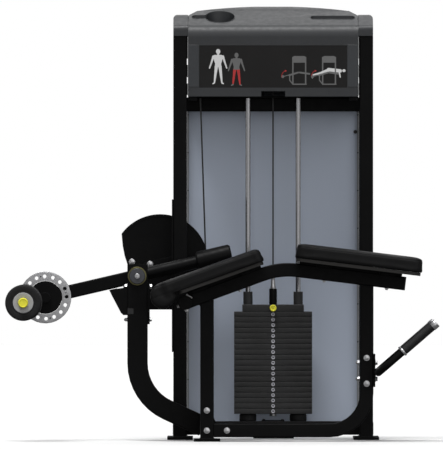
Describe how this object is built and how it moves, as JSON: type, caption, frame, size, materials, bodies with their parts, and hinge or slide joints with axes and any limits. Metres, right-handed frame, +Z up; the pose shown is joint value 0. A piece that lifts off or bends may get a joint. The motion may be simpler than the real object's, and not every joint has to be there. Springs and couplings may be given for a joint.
{
  "type": "lying leg curl machine",
  "caption": "Prone leg curl machine: bent bench with two pads, swinging arm with foam roller and counterweight, cam and cable to a shrouded weight stack.",
  "frame": {"origin": "middle of the footprint, on the floor", "axes": "+X along the bench from the roller towards the chest pad, +Y from the bench towards the stack tower, +Z up"},
  "size_m": [1.6103, 0.9406, 1.6319],
  "materials": {
    "black_paint": "satin",
    "stack_iron": "matte",
    "rod_chrome": "polished",
    "bright_steel": "satin",
    "black_rubber": "matte",
    "shroud_plastic": "satin",
    "frosted_sheet": "satin",
    "pad_vinyl": "matte",
    "pad_board": "matte",
    "yellow_plastic": "gloss",
    "pulley_nylon": "matte",
    "coated_cable": "satin",
    "roller_foam": "matte"
  },
  "bodies": {
    "root": {"tower_left_frame": "black_paint", "tower_right_frame": "black_paint", "stack_base_bar": "black_paint", "top_beam": "black_paint", "cam_side_plate": "black_paint", "rear_shield": "frosted_sheet", "shroud_shell": "shroud_plastic", "shroud_cap_left": "shroud_plastic", "shroud_cap_right": "shroud_plastic", "weight_plate_01": "stack_iron", "weight_plate_02": "stack_iron", "weight_plate_03": "stack_iron", "weight_plate_04": "stack_iron", "weight_plate_05": "stack_iron", "weight_plate_06": "stack_iron", "weight_plate_07": "stack_iron", "weight_plate_08": "stack_iron", "weight_plate_09": "stack_iron", "weight_plate_10": "stack_iron", "weight_plate_11": "stack_iron", "weight_plate_12": "stack_iron", "weight_plate_13": "stack_iron", "weight_plate_14": "stack_iron", "weight_plate_15": "stack_iron", "weight_plate_16": "stack_iron", "weight_plate_17": "stack_iron", "weight_plate_18": "stack_iron", "weight_plate_19": "stack_iron", "guide_rod_left": "rod_chrome", "guide_rod_right": "rod_chrome", "bumper_left": "black_rubber", "bumper_right": "black_rubber", "cable_top_run": "coated_cable", "cable_stack_run": "coated_cable", "bench_left_post": "black_paint", "bench_lower_tube": "black_paint", "bench_top_tube": "black_paint", "right_base_link": "black_paint", "handlebar": "black_paint", "grip_front": "black_rubber", "grip_rear": "black_rubber", "thigh_pad": "pad_vinyl", "thigh_board": "pad_board", "chest_pad": "pad_vinyl", "chest_board": "pad_board", "arm_column": "black_paint"},
    "arm": {"pivot_shaft": "bright_steel", "lever_arm": "black_paint", "counterweight": "black_paint", "adjusting_disc": "bright_steel", "cam": "black_paint"},
    "crank": {"roller_crank": "black_paint"},
    "roller": {"roller_foam": "roller_foam"},
    "release_pin": {"pull_knob": "yellow_plastic"},
    "lift": {"head_plate": "stack_iron", "stack_stem": "bright_steel"},
    "selector": {"selector_pin": "yellow_plastic"},
    "pulley_a": {"pulley_left": "pulley_nylon"},
    "pulley_b": {"pulley_right": "pulley_nylon"},
    "arm_cable": {"cable_arm_run": "coated_cable"}
  },
  "joints": [
    {"name": "lever_arm", "type": "hinge", "parent": "root", "child": "arm", "pos_m": [-0.30844, 0.02025, 0.6162], "axis": [0, 1, 0], "range_deg": [0, 120], "deforming": ["cable_arm_run"]},
    {"name": "weight_lift", "type": "slide", "parent": "root", "child": "lift", "axis": [0, 0, 1], "range_m": [0, 0.511], "deforming": ["cable_stack_run"]},
    {"name": "pulley_left_spin", "type": "hinge", "parent": "root", "child": "pulley_a", "pos_m": [-0.02084, 0.29525, 1.39], "axis": [0, 1, 0], "range_deg": [-540, 0]},
    {"name": "pulley_right_spin", "type": "hinge", "parent": "root", "child": "pulley_b", "pos_m": [0.14656, 0.29525, 1.39], "axis": [0, 1, 0], "range_deg": [-540, 0]},
    {"name": "arm_cable_swing", "type": "hinge", "parent": "root", "child": "arm_cable", "pos_m": [-0.07581, 0.29525, 1.38816], "axis": [0, 1, 0], "range_deg": [0, 6]},
    {"name": "roller_adjust", "type": "hinge", "parent": "arm", "child": "crank", "pos_m": [-0.65323, -0.01475, 0.53597], "axis": [0, 1, 0], "range_deg": [-135, 135]},
    {"name": "roller_spin", "type": "hinge", "parent": "crank", "child": "roller", "pos_m": [-0.73066, -0.23475, 0.51795], "axis": [0, 1, 0], "continuous": true},
    {"name": "release_pull", "type": "slide", "parent": "crank", "child": "release_pin", "axis": [0, -1, 0], "range_m": [0, 0.012], "stiffness_N_per_m": 1500, "springref_m": -0.004},
    {"name": "selector_pull", "type": "slide", "parent": "lift", "child": "selector", "axis": [0, -1, 0], "range_m": [0, 0.08]}
  ],
  "couplings": [
    {"joint": "weight_lift", "follows": "lever_arm", "m_per_rad": 0.2438},
    {"joint": "pulley_left_spin", "follows": "lever_arm", "ratio": -4.4327},
    {"joint": "pulley_right_spin", "follows": "lever_arm", "ratio": -4.4327},
    {"joint": "arm_cable_swing", "follows": "lever_arm", "ratio": 0.0475}
  ]
}
